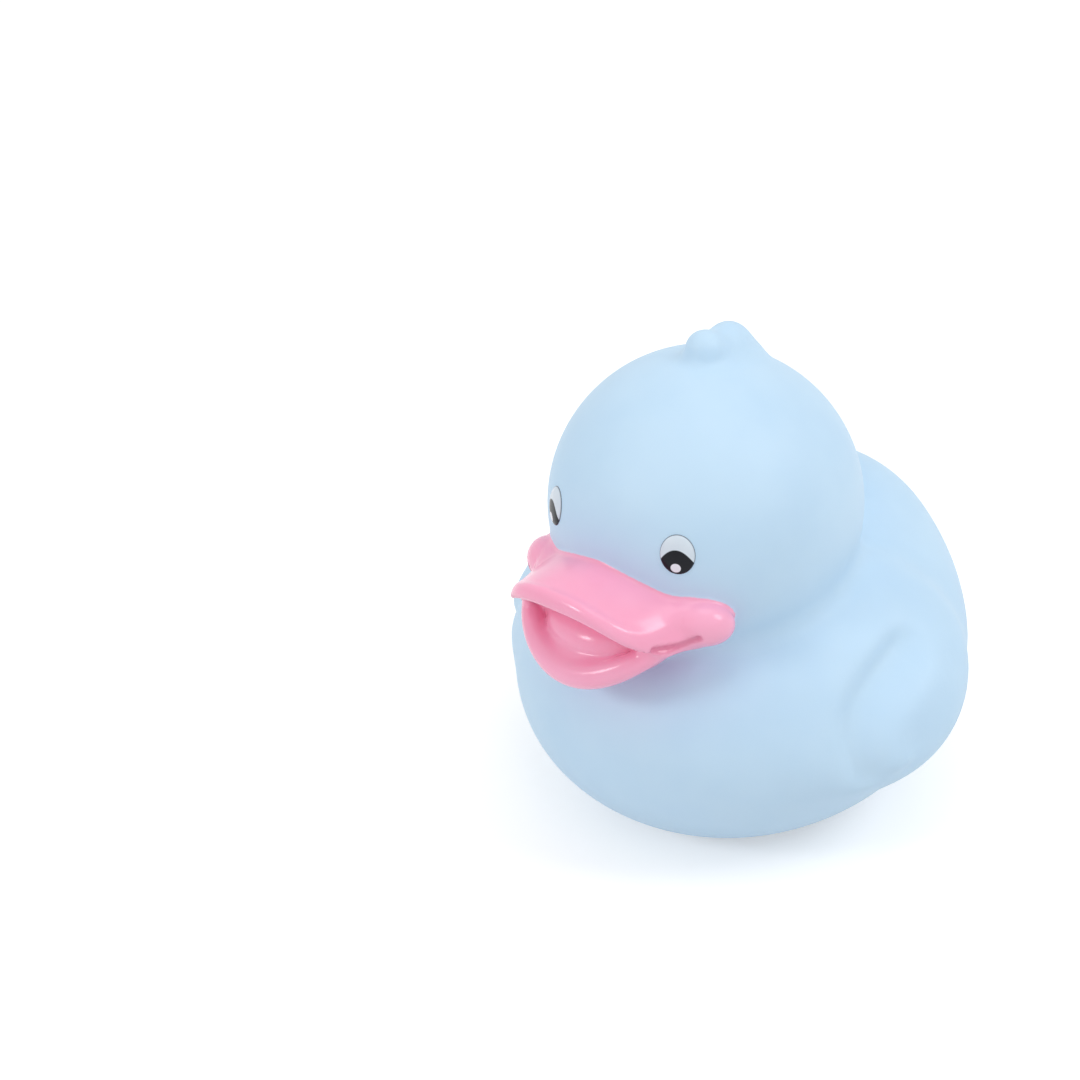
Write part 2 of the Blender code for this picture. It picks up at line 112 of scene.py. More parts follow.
# The wing's edge seen from the side, from the back over the top and down the front
WING_EDGE = np.array(((12.2, 38.4), (3.7, 36.2), (-3.8, 33.4), (-7.8, 30.3),
                      (-9.5, 26.4), (-9.4, 23.0), (-8.0, 19.0)))
WING_EDGE[:, 0] += HEAD_Y
EDGE_FADE_IN, EDGE_FADE_OUT = 8.0, 3.0
VALLEY_DEEP, VALLEY_WIDE = (1.7, 1.3), 2.2
LOBE_LIFT, LOBE_IN, LOBE_WIDE = (0.3, 1.3), 4.0, 3.4
FLANK_IN, FLANK_OUT = 20.0, 27.0

# Where each small form is worked out, as two opposite corners
CROWN_BOX = ((-16, -22, 70), (16, 26, 92))
FACE_BOX = ((-26, -50, 30), (26, -14, 64))
PAINT_BOX = ((-27, -52, 28), (27, -12, 66))
FLANK_BOX = ((-60, HEAD_Y - 21, 8), (60, HEAD_Y + 23, 50))
SLIT_BOX = ((-22, HEAD_Y - 34, 44), (22, HEAD_Y - 20, 52))
SLIT_BOX_IN = 10

WALL = 2.0
HOLLOW_ROUND = 1.0
HOLLOW_GRID = 1.6
SEAT_R = 6.8
RECESS_R = 9.9
RECESS_DEEP = 1.8
SEAT_TOP = 4.0
SHARP_ANGLE = 48.0


def turn_matrix(x=0.0, y=0.0, z=0.0):
    """Turns by y, then x, then z, in degrees."""
    made = np.eye(3)
    for axis, angle in ((1, y), (0, x), (2, z)):
        c, s = math.cos(math.radians(angle)), math.sin(math.radians(angle))
        turn = np.eye(3)
        a, b = (axis + 1) % 3, (axis + 2) % 3
        turn[a, a] = turn[b, b] = c
        turn[a, b], turn[b, a] = -s, s
        made = turn @ made
    return made


def ellipsoid(p, centre, radii, turn=None):
    q = p - np.asarray(centre)
    if turn is not None:
        q = q @ turn
    radii = np.asarray(radii, float)
    a = np.linalg.norm(q / radii, axis=1)
    b = np.linalg.norm(q / radii ** 2, axis=1)
    return a * (a - 1.0) / np.maximum(b, 1e-9)


def join(a, b, width):
    mix = np.clip(0.5 + 0.5 * (b - a) / width, 0.0, 1.0)
    return b + (a - b) * mix - width * mix * (1.0 - mix)


def overlap(a, b, width):
    return -join(-a, -b, width)


def masses(p, inset=0.0, tail=True):
    """Torso, back, shoulders, wings, tail and head, each melted into the ones before it."""
    def mass(centre, radii, turn, side=1):
        centre = (side * centre[0],) + tuple(centre[1:])
        turned = turn_matrix(turn[0], side * turn[1], side * turn[2])
        return ellipsoid(p, centre, [r - inset for r in radii], turned)
    body = join(mass(TORSO, TORSO_R, TORSO_TURN), mass(BACK, BACK_R, BACK_TURN), BACK_BLEND)
    for side in (1, -1):
        body = join(body, mass(SHOULDER, SHOULDER_R, SHOULDER_TURN, side), BACK_BLEND)
    for side in (1, -1):
        body = join(body, mass(WING, WING_R, WING_TURN, side), WING_BLEND)
    if tail:
        body = join(body, mass(TAIL, TAIL_R, TAIL_TURN), TAIL_BLEND)
    head = np.linalg.norm(p - HEAD, axis=1) - (HEAD_R - inset)
    return join(body, head, NECK_BLEND)


def tuft(p):
    parts = []
    for lean, lift, radii in TUFT:
        reach, angle = HEAD_R + lift, math.radians(lean)
        centre = HEAD + (0.0, reach * math.sin(angle), reach * math.cos(angle))
        parts.append(ellipsoid(p, centre, radii, turn_matrix(-lean)))
    return join(join(parts[0], parts[1], TUFT_BLEND), parts[2], TUFT_BLEND)


def bill_axes(p):
    return np.abs(p[:, 0]), HEAD[1] - p[:, 1], p[:, 2] - HEAD[2]


def bill_points(p):
    return np.stack(bill_axes(p), axis=1)


def rim_height(u):
    return RIM_Z - RIM_DROOP * u ** RIM_POWER


def upper_bill(p):
    """A sheet that droops towards its sides, square in front, with a small roll along its rim."""
    x, f, z = bill_axes(p)
    u = np.minimum(x / BILL_W, 1.15)
    n = BILL_SQUARE
    reach = BILL_FRONT - BILL_BACK
    a, b = x / BILL_W, np.maximum(f - BILL_BACK, 0.0) / reach
    g = (a ** n + b ** n) ** (1.0 / n) + 1e-9
    slope = np.hypot((a / g) ** (n - 1) / BILL_W, (b / g) ** (n - 1) / reach)
    edge = (g - 1.0) / np.maximum(slope, 0.02)
    edge = np.clip(edge, -12.0, 30.0)
    root = np.sqrt(np.maximum(HEAD_R ** 2 - x ** 2, 0.0))
    front = BILL_BACK + reach * np.maximum(1.0 - np.minimum(u, 1.0) ** n, 0.0) ** (1.0 / n)
    run = np.clip((f - root) / np.maximum(front - root, 6.0), -0.3, 1.1)
    root_z = ROOT_Z - ROOT_DROOP * u ** ROOT_POWER
    top = root_z + (rim_height(u) - root_z) * run + ROLL_LIFT * np.exp(-((edge + ROLL_IN) / ROLL_WIDE) ** 2)
    thick = SHEET_ROOT + (SHEET_RIM - SHEET_THIN * u ** 2 - SHEET_ROOT) * np.clip(run, 0.0, 1.0)
    tilt = 1.0 / np.sqrt(1.0 + (RIM_DROOP * RIM_POWER / BILL_W * u ** (RIM_POWER - 1) * run) ** 2)
    sheet = overlap((z - top) * tilt, (top - thick - z) * tilt, SHEET_ROUND)
    return overlap(sheet, edge, EDGE_ROUND)


def cheeks(p):
    return ellipsoid(bill_points(p), CHEEK, CHEEK_R, turn_matrix(0, CHEEK_LEAN, -CHEEK_YAW))


def lip_path(count=40):
    """The middle line of the lower lip, from its corner to its front, and its radius there."""
    share = np.sin(np.linspace(0.0, math.pi / 2, count))
    across = np.cos(np.linspace(0.0, math.pi / 2, count))
    x = BILL_W * across * (1.0 - LIP_PINCH * share ** 0.3)
    f = LIP_BACK + (LIP_FRONT - LIP_BACK) * share
    z = LIP_CORNER_Z + (LIP_LOW - LIP_CORNER_Z) * share ** 2.2
    radius = LIP_CORNER_R + (LIP_R - LIP_CORNER_R) * share
    return np.stack([x, f, z], axis=1), radius


def tube(q, points, radii):
    """Distance to a bent tube through the points, with a radius for each."""
    best = np.full(len(q), 1e3)
    for start, end, r0, r1 in zip(points[:-1], points[1:], radii[:-1], radii[1:]):
        along = end - start
        t = np.clip((q - start) @ along / (along @ along), 0.0, 1.0)
        gap = np.linalg.norm(q - start - t[:, None] * along, axis=1) - (r0 + (r1 - r0) * t)
        best = np.minimum(best, gap)
    return best


def lower_bill(p):
    """Lip, chin, the webs at the corners of the mouth, throat and tongue."""
    q = bill_points(p)
    chin = ellipsoid(q, CHIN, CHIN_R, turn_matrix(CHIN_TILT))
    tongue = ellipsoid(q, TONGUE, TONGUE_R)
    throat = ellipsoid(q, THROAT, THROAT_R)
    web = ellipsoid(q, WEB, WEB_R, turn_matrix(0, 0, WEB_YAW))
    lip = join(tube(q, *lip_path()), chin, CHIN_BLEND)
    return join(join(join(lip, web, WEB_BLEND), throat, THROAT_BLEND), tongue, TONGUE_BLEND)


def bill(p):
    return join(join(upper_bill(p), cheeks(p), CHEEK_BLEND), lower_bill(p), LIPS_BLEND)


def ramp(value, low, high):
    share = np.clip((value - low) / (high - low), 0.0, 1.0)
    return share * share * (3.0 - 2.0 * share)


def rounded(points, rounds=2):
    """The open line with its corners cut, so that it bends smoothly."""
    for _ in range(rounds):
        a, b = points[:-1], points[1:]
        cut_points = np.stack([0.75 * a + 0.25 * b, 0.25 * a + 0.75 * b], axis=1).reshape(-1, points.shape[1])
        points = np.concatenate([points[:1], cut_points, points[-1:]])
    return points


def wing_edge(p):
    """The valley in front of and over the wing, and the rounded edge of the wing behind it."""
    line = rounded(WING_EDGE)
    best = np.full(len(p), 1e3)
    inward, along = np.zeros(len(p)), np.zeros(len(p))
    travelled = 0.0
    for start, end in zip(line[:-1], line[1:]):
        length = np.hypot(*(end - start))
        way = (end - start) / length
        rel = p[:, 1:] - start
        t = np.clip(rel @ way, 0.0, length)
        gap = np.hypot(*(rel - t[:, None] * way).T)
        closer = gap < best
        side = np.sign(way[0] * rel[:, 1] - way[1] * rel[:, 0])
        best = np.where(closer, gap, best)
        inward = np.where(closer, side * gap, inward)
        along = np.where(closer, travelled + t, along)
        travelled += length
    share = along / travelled
    near_ends = ramp(along, 0.0, EDGE_FADE_IN) * ramp(travelled - along, 0.0, EDGE_FADE_OUT)
    flank = ramp(np.abs(p[:, 0]), FLANK_IN, FLANK_OUT)
    valley = np.interp(share, (0, 1), VALLEY_DEEP) * np.exp(-(inward / VALLEY_WIDE) ** 2)
    lobe = np.interp(share, (0, 1), LOBE_LIFT) * np.exp(-((inward - LOBE_IN) / LOBE_WIDE) ** 2)
    return (valley - lobe) * near_ends * flank


def slit(p):
    """The line where the upper and lower bill part, round into the cheek."""
    line = rounded(np.array(SLIT))
    return tube(bill_points(p), line, np.full(len(line), SLIT_R))


def near(p, box):
    return np.all((p > np.array(box[0])) & (p < np.array(box[1])), axis=1)


def skin(p):
    """Signed distance, nearly, to the outside of the vinyl."""
    value = masses(p)
    flank = near(p, FLANK_BOX) & (np.abs(p[:, 0]) > FLANK_IN)
    if flank.any():
        value[flank] += wing_edge(p[flank])
    crown = near(p, CROWN_BOX)
    if crown.any():
        value[crown] = join(value[crown], tuft(p[crown]), TUFT_FOOT_BLEND)
    face = near(p, FACE_BOX)
    if face.any():
        value[face] = join(value[face], bill(p[face]), FACE_BLEND)
    corners = near(p, SLIT_BOX) & (np.abs(p[:, 0]) > SLIT_BOX_IN)
    if corners.any():
        value[corners] = overlap(value[corners], -slit(p[corners]), SLIT_ROUND)
    return overlap(value, -p[:, 2], FOOT_ROUND)


def surface_net(field, axes):
    """A quad mesh of the field's zero, one vertex to a cell that it passes through."""
    shape = [len(a) for a in axes]
    values = np.empty(shape)
    for number, z in enumerate(axes[2]):
        gx, gy = np.meshgrid(axes[0], axes[1], indexing="ij")
        points = np.stack([gx.ravel(), gy.ravel(), np.full(gx.size, z)], axis=1)
        values[:, :, number] = field(points).reshape(gx.shape)
    inside = values < 0
    corner = [(i, j, k) for i in (0, 1) for j in (0, 1) for k in (0, 1)]
    cells = [inside[i:shape[0] - 1 + i, j:shape[1] - 1 + j, k:shape[2] - 1 + k] for i, j, k in corner]
    mixed = np.logical_or.reduce(cells) & ~np.logical_and.reduce(cells)
    where = np.argwhere(mixed)
    index = np.full(mixed.shape, -1)
    index[mixed] = np.arange(len(where))
    total = np.zeros((len(where), 3))
    count = np.zeros(len(where))
    for a in corner:
        for axis in range(3):
            if a[axis]:
                continue
            b = list(a)
            b[axis] = 1
            ia, ib = where + a, where + b
            va, vb = values[tuple(ia.T)], values[tuple(ib.T)]
            cut = (va < 0) != (vb < 0)
            t = np.where(cut, va / np.where(cut, va - vb, 1.0), 0.0)
            pa = np.stack([axes[n][ia[:, n]] for n in range(3)], axis=1)
            pb = np.stack([axes[n][ib[:, n]] for n in range(3)], axis=1)
            total += np.where(cut[:, None], pa + (pb - pa) * t[:, None], 0.0)
            count += cut
    points = total / count[:, None]
    quads = []
    for axis in range(3):
        u, v = (axis + 1) % 3, (axis + 2) % 3
        low = [slice(None)] * 3
        high = [slice(None)] * 3
        low[axis], high[axis] = slice(0, -1), slice(1, None)
        change = inside[tuple(low)] != inside[tuple(high)]
        at = np.argwhere(change)
        at = at[(at[:, u] > 0) & (at[:, v] > 0) & (at[:, u] < shape[u] - 1) & (at[:, v] < shape[v] - 1)]
        ring = []
        for du, dv in ((-1, -1), (0, -1), (0, 0), (-1, 0)):
            cell = at.copy()
            cell[:, u] += du
            cell[:, v] += dv
            ring.append(index[tuple(cell.T)])
        quad = np.stack(ring, axis=1)
        out = inside[tuple(at.T)]
        quad[~out] = quad[~out][:, ::-1]
        quads.append(quad)
    return points, np.concatenate(quads)


def settle(points, quads, field, rounds=6):
    """Evens the mesh out and puts each vertex on the field's zero."""
    edges = np.unique(np.sort(np.concatenate([quads[:, [n, (n + 1) % 4]] for n in range(4)]), axis=1), axis=0)
    degree = np.bincount(edges.ravel(), minlength=len(points))[:, None]
    step = 0.05

    def slope(p):
        return np.stack([(field(p + d) - field(p - d)) / (2 * step) for d in np.eye(3) * step], axis=1)

    for number in range(rounds):
        grad = slope(points)
        size = np.maximum(np.linalg.norm(grad, axis=1, keepdims=True), 0.2)
        normal = grad / size
        points = points - np.clip(field(points)[:, None] / size, -0.5, 0.5) * normal
        if number < rounds - 2:
            around = np.zeros_like(points)
            for axis in range(3):
                around[:, axis] = (np.bincount(edges[:, 0], points[edges[:, 1], axis], len(points))
                                   + np.bincount(edges[:, 1], points[edges[:, 0], axis], len(points)))
            drift = around / degree - points
            drift -= (drift * normal).sum(axis=1, keepdims=True) * normal
            points = points + 0.5 * drift
    return points


def spaced(stops):
    """Grid lines between stops, each followed by its spacing."""
    lines = []
    for (start, gap), (end, _) in zip(stops, stops[1:]):
        count = max(1, round((end - start) / gap))
        lines.extend(np.linspace(start, end, count, endpoint=False))
    return np.array(lines + [stops[-1][0]])


SKIN_GRID = (spaced(((-46, 1.0), (-21, 0.42), (21, 1.0), (46, 1))),
             spaced(((-46, 0.42), (-20, 0.9), (46, 1))),
             spaced(((-1.5, 1.0), (36, 0.42), (58, 0.8), (78, 0.5), (90, 1))))


def placed(name, data):
    """A new object of the scene that holds the data."""
    made = bpy.data.objects.new(name, data)
    bpy.context.scene.collection.objects.link(made)
    return made


def placed_mesh(name, bm):
    data = bpy.data.meshes.new(name)
    bm.to_mesh(data)
    bm.free()
    return placed(name, data)


def new_mesh(name, points, faces):
    data = bpy.data.meshes.new(name)
    data.from_pydata((np.asarray(points) * MM).tolist(), [], np.asarray(faces).tolist())
    return placed(name, data)


def applied(obj):
    graph = bpy.context.evaluated_depsgraph_get()
    data = bpy.data.meshes.new_from_object(obj.evaluated_get(graph))
    obj.modifiers.clear()
    obj.data = data
    return obj


def revolve(name, profile, steps=96):
    """A closed solid turned from (radius, height) points that start and end on the axis."""
    bm = bmesh.new()
    rings = []
    for radius, height in profile:
        if radius == 0.0:
            rings.append([bm.verts.new((0.0, SEAT_Y * MM, height * MM))])
            continue
        angles = (2 * math.pi * n / steps for n in range(steps))
        around = [(radius * math.cos(a), SEAT_Y + radius * math.sin(a)) for a in angles]
        rings.append([bm.verts.new((x * MM, y * MM, height * MM)) for x, y in around])
    for low, high in zip(rings, rings[1:]):
        for n in range(steps):
            m = (n + 1) % steps
            corners = [low[n % len(low)], low[m % len(low)], high[m % len(high)], high[n % len(high)]]
            bm.faces.new(list(dict.fromkeys(corners)))
    bmesh.ops.recalc_face_normals(bm, faces=bm.faces)
    return placed_mesh(name, bm)


def cut(obj, cutter):
    modifier = obj.modifiers.new("cut", "BOOLEAN")
    modifier.operation = "DIFFERENCE"
    modifier.solver = "EXACT"
    modifier.object = cutter
    bpy.context.view_layer.update()
    applied(obj)
    bpy.data.objects.remove(cutter, do_unlink=True)


def make_skin():
    """The casting: its outside, its hollow inside, and the squeaker's seat through the base."""
    points, quads = surface_net(skin, SKIN_GRID)
    made = new_mesh("duck_skin", settle(points, quads, skin), quads)

    def hollow(p):
        return overlap(masses(p, WALL, tail=False), SEAT_TOP - p[:, 2], HOLLOW_ROUND)

    axes = [spaced(((low, HOLLOW_GRID), (high, 1))) for low, high in ((-44, 44), (-42, 42), (1, 84))]
    points, quads = surface_net(hollow, axes)
    cut(made, new_mesh("hollow", settle(points, quads, hollow), quads))
    cut(made, revolve("seat", ((0.0, -2.0), (RECESS_R, -2.0), (RECESS_R, RECESS_DEEP),
                               (SEAT_R, RECESS_DEEP), (SEAT_R, SEAT_TOP + 2.0), (0.0, SEAT_TOP + 2.0))))
    made.data.shade_smooth()
    made.data.set_sharp_from_angle(angle=math.radians(SHARP_ANGLE))
    return made


# What is painted pink, past the bill: the inside of the mouth
MOUTH = (0.0, 24.0, -8.0)
MOUTH_R = (16.0, 10.0, 7.5)
UNPAINTED = 9.0
PAINT_START, PAINT_FADE = 0.15, 0.6
HALO_WIDE = 1.6
SLIT_SHADE_WIDE = 0.3


def paint_skin(obj):
    """Where each vertex is pink, near the pink, and how much painted shade it takes in the slit of the mouth.
    """
    count = len(obj.data.vertices)
    co = np.empty(count * 3)
    obj.data.vertices.foreach_get("co", co)
    p = co.reshape(-1, 3) / MM
    gap = np.full(count, UNPAINTED)
    face = near(p, PAINT_BOX)
    gap[face] = np.minimum(bill(p[face]), ellipsoid(bill_points(p[face]), MOUTH, MOUTH_R))
    mask = 1.0 - ramp(gap, PAINT_START, PAINT_START + PAINT_FADE)
    halo = np.exp(-np.maximum(gap, 0.0) / HALO_WIDE)
    # Painted shade: a darker line along the slit of the mouth, standing for the shade in its groove
    painted_slit_shade = np.zeros(count)
    painted_slit_shade[face] = np.exp(-(np.maximum(slit(p[face]), 0.0) / SLIT_SHADE_WIDE) ** 2)
    for name, value in (("paint", mask), ("halo", halo), ("painted_slit_shade", painted_slit_shade)):
        layer = obj.data.attributes.new(name, "FLOAT", "POINT")
        layer.data.foreach_set("value", value.astype(np.float32))


EYE_R = (2.9, 3.4)
EYE_LAT, EYE_LON = 12.6, 30.9
EYE_PROUD = 0.5
EYE_SUNK, EYE_BACK, EYE_BACK_DEEP = 0.06, 0.96, 0.8
EYE_RINGS, EYE_STEPS = 16, 72


def make_eye(name, side):
    """A raised oval on the head, whose UV map runs from 0 to 1 across it."""
    lat, lon = math.radians(EYE_LAT), math.radians(EYE_LON)
    out = Vector((side * math.sin(lon) * math.cos(lat), -math.cos(lon) * math.cos(lat), math.sin(lat)))
    up = (Vector((0, 0, 1)) - out * out.z).normalized()
    right = out.cross(up) * -1.0
    bm = bmesh.new()
    uv = bm.loops.layers.uv.new("UVMap")
    place = {}

    def vert(u, v, height):
        ray = (out * HEAD_R + right * (u * EYE_R[0]) + up * (v * EYE_R[1])).normalized()
        made = bm.verts.new((Vector(HEAD) + ray * (HEAD_R + height)) * MM)
        place[made] = (0.5 + 0.5 * u, 0.5 + 0.5 * v)
        return made

    centre = vert(0.0, 0.0, EYE_PROUD)
    loops = []

    def ring(r, height):
        angles = (2 * math.pi * m / EYE_STEPS for m in range(EYE_STEPS))
        return [vert(r * math.cos(a), r * math.sin(a), height) for a in angles]

    for n in range(1, EYE_RINGS + 1):
        r = n / EYE_RINGS
        loops.append(ring(r, EYE_PROUD * math.sqrt(1.0 - r ** 3.0) - EYE_SUNK * r ** 3))
    back = ring(EYE_BACK, -EYE_BACK_DEEP)
    loops.append(back)
    for m in range(EYE_STEPS):
        o = (m + 1) % EYE_STEPS
        bm.faces.new((centre, loops[0][m], loops[0][o]))
        for inner, outer in zip(loops, loops[1:]):
            bm.faces.new((inner[m], outer[m], outer[o], inner[o]))
    bm.faces.new(back[::-1])
    bmesh.ops.recalc_face_normals(bm, faces=bm.faces)
    for face in bm.faces:
        face.smooth = True
        for loop in face.loops:
            loop[uv].uv = place[loop.vert]
    return placed_mesh(name, bm)


class Graph:
    """A short way to write a material's nodes."""

    def __init__(self, name):
        self.material = bpy.data.materials.new(name)
        self.material.use_nodes = True
        self.tree = self.material.node_tree
        self.shader = self.tree.nodes["Principled BSDF"]

    def node(self, kind, inputs=(), **settings):
        made = self.tree.nodes.new(kind)
        for key, value in settings.items():
            setattr(made, key, value)
        for key, value in dict(inputs).items():
            self.put(made.inputs[key], value)
        return made

    def put(self, socket, value):
        if isinstance(value, bpy.types.NodeSocket):
            self.tree.links.new(value, socket)
        else:
            socket.default_value = value

    def math(self, operation, *values, clamp=False):
        return self.node("ShaderNodeMath", enumerate(values), operation=operation, use_clamp=clamp).outputs[0]

    def step(self, value, low, high):
        made = self.node("ShaderNodeMapRange", {"Value": value, "From Min": low, "From Max": high},
                         interpolation_type="SMOOTHSTEP")
        return made.outputs[0]

    def mix(self, factor, a, b):
        made = self.node("ShaderNodeMix", {"Factor": factor}, data_type="RGBA")
        self.put(made.inputs[6], a)
        self.put(made.inputs[7], b)
        return made.outputs[2]

    def noise(self, scale, detail=2.0, roughness=0.5):
        where = self.node("ShaderNodeTexCoord").outputs["Object"]
        made = self.node("ShaderNodeTexNoise", {"Vector": where, "Scale": scale, "Detail": detail,
                                                "Roughness": roughness})
        return made.outputs["Fac"]

    def finish(self, **inputs):
        for key, value in inputs.items():
            self.put(self.shader.inputs[key.replace("_", " ")], value)
        return self.material


def rgb(red, green, blue):
    """Linear colour from screen values between 11 and 255."""
    return tuple(((c / 255 + 0.055) / 1.055) ** 2.4 for c in (red, green, blue)) + (1.0,)


def vinyl_material():
    """Matte blue vinyl, with the bill sprayed in satin pink, and painted shade along the mouth's slit."""
    g = Graph("blue_vinyl")
    paint = g.node("ShaderNodeAttribute", attribute_name="paint").outputs["Fac"]
    halo = g.node("ShaderNodeAttribute", attribute_name="halo").outputs["Fac"]
    cloud = g.noise(45.0, 3.0, 0.55)
    speck = g.noise(420.0, 2.0, 0.6)
    blue = g.mix(g.step(cloud, 0.3, 0.7), rgb(193, 223, 247), rgb(200, 228, 250))
    # The blue turns a little greyer and darker close to the pink
    blue = g.mix(g.math("MULTIPLY", halo, 0.10), blue, rgb(196, 206, 232))
    pink = g.mix(g.step(cloud, 0.3, 0.7), rgb(254, 168, 200), rgb(255, 178, 208))
    # Painted shade: the pink darkens along the slit of the mouth
    painted_slit_shade = g.node("ShaderNodeAttribute", attribute_name="painted_slit_shade").outputs["Fac"]
    pink = g.mix(g.math("MULTIPLY", painted_slit_shade, 0.6), pink, rgb(214, 98, 140))
    ragged = g.math("ADD", paint, g.math("MULTIPLY", g.math("SUBTRACT", speck, 0.5), 0.35))
    mask = g.step(ragged, 0.25, 0.75)
    colour = g.mix(mask, blue, pink)
    grain = g.noise(900.0, 2.0, 0.5)
    rough_blue = g.math("ADD", 0.46, g.math("MULTIPLY", cloud, 0.10))
    rough_pink = g.math("ADD", 0.17, g.math("MULTIPLY", cloud, 0.08))
    rough = g.math("ADD", g.math("MULTIPLY", rough_pink, mask),
                   g.math("MULTIPLY", rough_blue, g.math("SUBTRACT", 1.0, mask)))
    bump = g.node("ShaderNodeBump", {"Strength": 0.25, "Distance": 0.00006, "Height": grain})
    waves = g.node("ShaderNodeBump", {"Strength": 0.35, "Distance": 0.0003, "Height": g.noise(130.0, 2.0, 0.5),
                                      "Normal": bump.outputs[0]})
    g.put(g.shader.inputs["Subsurface Weight"], 0.12)
    g.put(g.shader.inputs["Subsurface Radius"], (1.0, 0.9, 0.8))
    g.put(g.shader.inputs["Subsurface Scale"], 0.002)
    return g.finish(Base_Color=colour, Roughness=rough, Normal=waves.outputs[0])


# The eye's print, in half widths and half heights from its middle
PUPIL_SHIFT, PUPIL_TOP, PUPIL_ARCH = 0.08, 0.27, 0.66
DOT, DOT_R = (-0.10, -0.62), (0.28, 0.23)
OUTLINE = (0.92, 0.985)


def eye_material():
    """An arched black pupil with a pale dot on pale blue, inside a thin dark line."""
    g = Graph("eye_enamel")
    uv = g.node("ShaderNodeTexCoord").outputs["UV"]
    split = g.node("ShaderNodeSeparateXYZ", {"Vector": uv})
    u = g.math("MULTIPLY_ADD", split.outputs[0], 2.0, -1.0)
    v = g.math("MULTIPLY_ADD", split.outputs[1], 2.0, -1.0)
    radius = g.math("SQRT", g.math("ADD", g.math("MULTIPLY", u, u), g.math("MULTIPLY", v, v)))
    offset = g.math("ADD", u, PUPIL_SHIFT)
    bend = g.math("MULTIPLY", g.math("MULTIPLY", offset, offset), PUPIL_ARCH)
    arch = g.math("SUBTRACT", PUPIL_TOP, bend)
    black = g.step(g.math("SUBTRACT", arch, v), -0.02, 0.03)
    du = g.math("DIVIDE", g.math("SUBTRACT", u, DOT[0]), DOT_R[0])
    dv = g.math("DIVIDE", g.math("SUBTRACT", v, DOT[1]), DOT_R[1])
    dot_r = g.math("SQRT", g.math("ADD", g.math("MULTIPLY", du, du), g.math("MULTIPLY", dv, dv)))
    dot = g.step(dot_r, 1.08, 0.92)
    edge = g.step(radius, *OUTLINE)
    cloud = g.noise(600.0, 2.0, 0.5)
    white = g.mix(cloud, rgb(212, 224, 236), rgb(222, 232, 241))
    dark = g.mix(cloud, rgb(18, 20, 27), rgb(27, 29, 37))
    colour = g.mix(black, white, dark)
    colour = g.mix(dot, colour, rgb(236, 236, 246))
    colour = g.mix(edge, colour, rgb(62, 74, 90))
    rough = g.math("ADD", 0.18, g.math("MULTIPLY", cloud, 0.08))
    bump = g.node("ShaderNodeBump", {"Strength": 0.2, "Distance": 0.00005, "Height": cloud})
    return g.finish(Base_Color=colour, Roughness=rough, Normal=bump.outputs[0], Specular_IOR_Level=0.2)


def moulded(name, low, high, roughness):
    """Plain moulded plastic between two colours."""
    g = Graph(name)
    cloud = g.noise(160.0, 3.0, 0.5)
    rough = g.math("ADD", roughness, g.math("MULTIPLY", cloud, 0.12))
    bump = g.node("ShaderNodeBump", {"Strength": 0.3, "Distance": 0.00005, "Height": g.noise(1200.0)})
    return g.finish(Base_Color=g.mix(cloud, low, high), Roughness=rough, Normal=bump.outputs[0])


def straight_view(tree):
    """1 where a camera, glossy or transmission ray looks at the surface, and otherwise 0."""
    rays = tree.nodes.new("ShaderNodeLightPath")
    total = rays.outputs["Is Camera Ray"]
    for name in ("Is Glossy Ray", "Is Transmission Ray"):
        add = tree.nodes.new("ShaderNodeMath")
        add.operation = "MAXIMUM"
        tree.links.new(total, add.inputs[0])
        tree.links.new(rays.outputs[name], add.inputs[1])
        total = add.outputs[0]
    return total


def white_stage(name, colour, lift):
    """A pale floor that keeps the shadow and is white where nothing shades it."""
    made = bpy.data.materials.new(name)
    made.use_nodes = True
    tree = made.node_tree
    shader = tree.nodes["Principled BSDF"]
    shader.inputs["Base Color"].default_value = colour
    shader.inputs["Roughness"].default_value = 0.9
    shader.inputs["Specular IOR Level"].default_value = 0.0
    shader.inputs["Emission Color"].default_value = (1, 1, 1, 1)
    glow = tree.nodes.new("ShaderNodeMath")
    glow.operation = "MULTIPLY"
    glow.inputs[1].default_value = lift
    tree.links.new(straight_view(tree), glow.inputs[0])
    tree.links.new(glow.outputs[0], shader.inputs["Emission Strength"])
    return made


def white_world(ambient):
    world = bpy.data.worlds.new("studio")
    bpy.context.scene.world = world
    world.use_nodes = True
    tree = world.node_tree
    shade = tree.nodes["Background"]
    shade.inputs["Color"].default_value = (1, 1, 1, 1)
    level = tree.nodes.new("ShaderNodeMapRange")
    level.inputs["To Min"].default_value = ambient
    level.inputs["To Max"].default_value = 1.0
    tree.links.new(straight_view(tree), level.inputs["Value"])
    tree.links.new(level.outputs[0], shade.inputs["Strength"])


def area(name, place, target, size, power):
    light = bpy.data.lights.new(name, "AREA")
    light.shape = "DISK"
    light.size = size
    light.energy = power
    made = placed(name, light)
    made.location = place
    aim = Vector(target) - Vector(place)
    made.rotation_euler = aim.to_track_quat("-Z", "Y").to_euler()


# The camera's angles in degrees, and the head's middle in its view, in radii of the head
ELEVATION, ROLL, YAW = 31.76, 6.125, -46.0
HEAD_SEEN = (1.047, 0.246, -18.971)


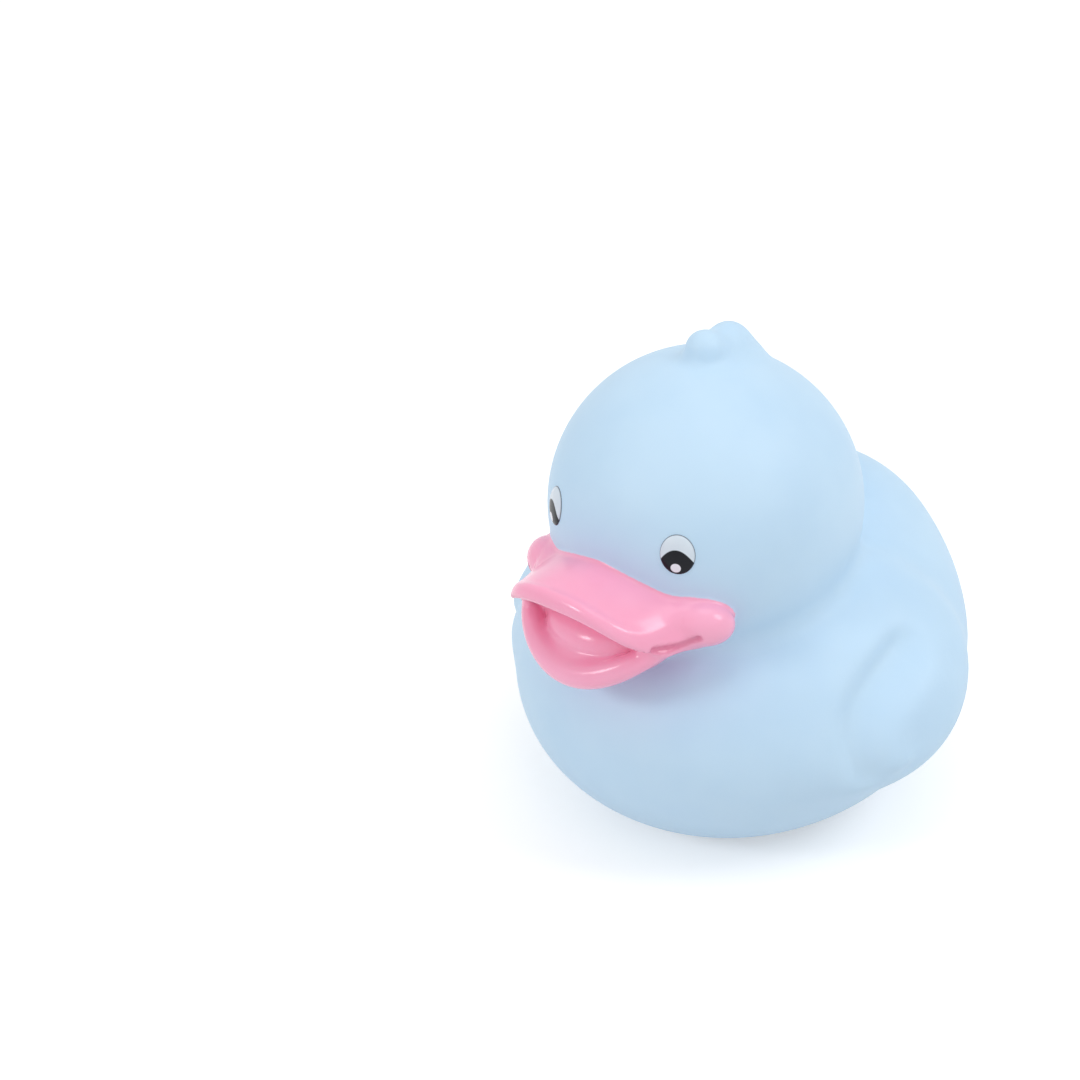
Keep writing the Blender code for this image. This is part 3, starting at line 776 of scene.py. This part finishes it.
def camera_axes(elevation, roll, yaw):
    """The duck's left, forward and up in the camera's axes."""
    up = Vector((0.0, math.cos(elevation), math.sin(elevation)))
    forward = Vector((0.0, -math.sin(elevation), math.cos(elevation)))
    turn = Matrix.Rotation(roll, 3, "Z")
    right, up, forward = turn @ Vector((1, 0, 0)), turn @ up, turn @ forward
    c, s = math.cos(yaw), math.sin(yaw)
    return c * right - s * forward, c * forward + s * right, up


def make_camera():
    left, forward, up = camera_axes(*(math.radians(a) for a in (ELEVATION, ROLL, YAW)))
    to_camera = Matrix((left, -forward, up)).transposed()
    head = Vector(HEAD) * MM
    seen = Vector(HEAD_SEEN) * HEAD_R * MM
    turn = to_camera.transposed()
    data = bpy.data.cameras.new("camera")
    data.sensor_width = 36.0
    data.lens = 100.0
    data.clip_start = 0.01
    made = placed("camera", data)
    made.matrix_world = Matrix.Translation(head - turn @ seen) @ turn.to_4x4()
    bpy.context.scene.camera = made


make_camera()

duck = make_skin()
paint_skin(duck)
duck.data.materials.clear()
duck.data.materials.append(vinyl_material())
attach(duck, "root")
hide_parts("duck_body")

enamel = eye_material()
for side, name in ((1, "eye_left"), (-1, "eye_right")):
    eye = make_eye(name, side)
    eye.data.materials.append(enamel)
    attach(eye, "root")

for node, slot, low, high, roughness in (
        ("squeaker_case", "white_polythene", rgb(232, 234, 230), rgb(242, 243, 240), 0.32),
        ("reed_holder", "clear_polythene", rgb(222, 228, 226), rgb(234, 238, 236), 0.24),
        ("reed", "reed_film", rgb(236, 240, 244), rgb(246, 248, 250), 0.16)):
    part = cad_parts[node]
    part.data.materials.clear()
    part.data.materials.append(moulded(slot, low, high, roughness))

FLOOR = 900
floor_corners = [(x * FLOOR, y * FLOOR, 0) for x, y in ((-1, -1), (1, -1), (1, 1), (-1, 1))]
floor = new_mesh("floor", floor_corners, [(0, 1, 2, 3)])
floor.data.materials.append(white_stage("floor_white", (0.82, 0.82, 0.82, 1), 0.38))

white_world(0.66)
target = (0.0, 0.0, 0.04)
area("key", (0.50, 0.22, 0.58), target, 0.30, 1.3)
area("front", (-0.30, -0.70, 0.52), target, 0.22, 1.3)
area("top", (0.05, 0.10, 0.70), target, 0.50, 0.6)

bpy.context.scene.view_settings.view_transform = "Standard"
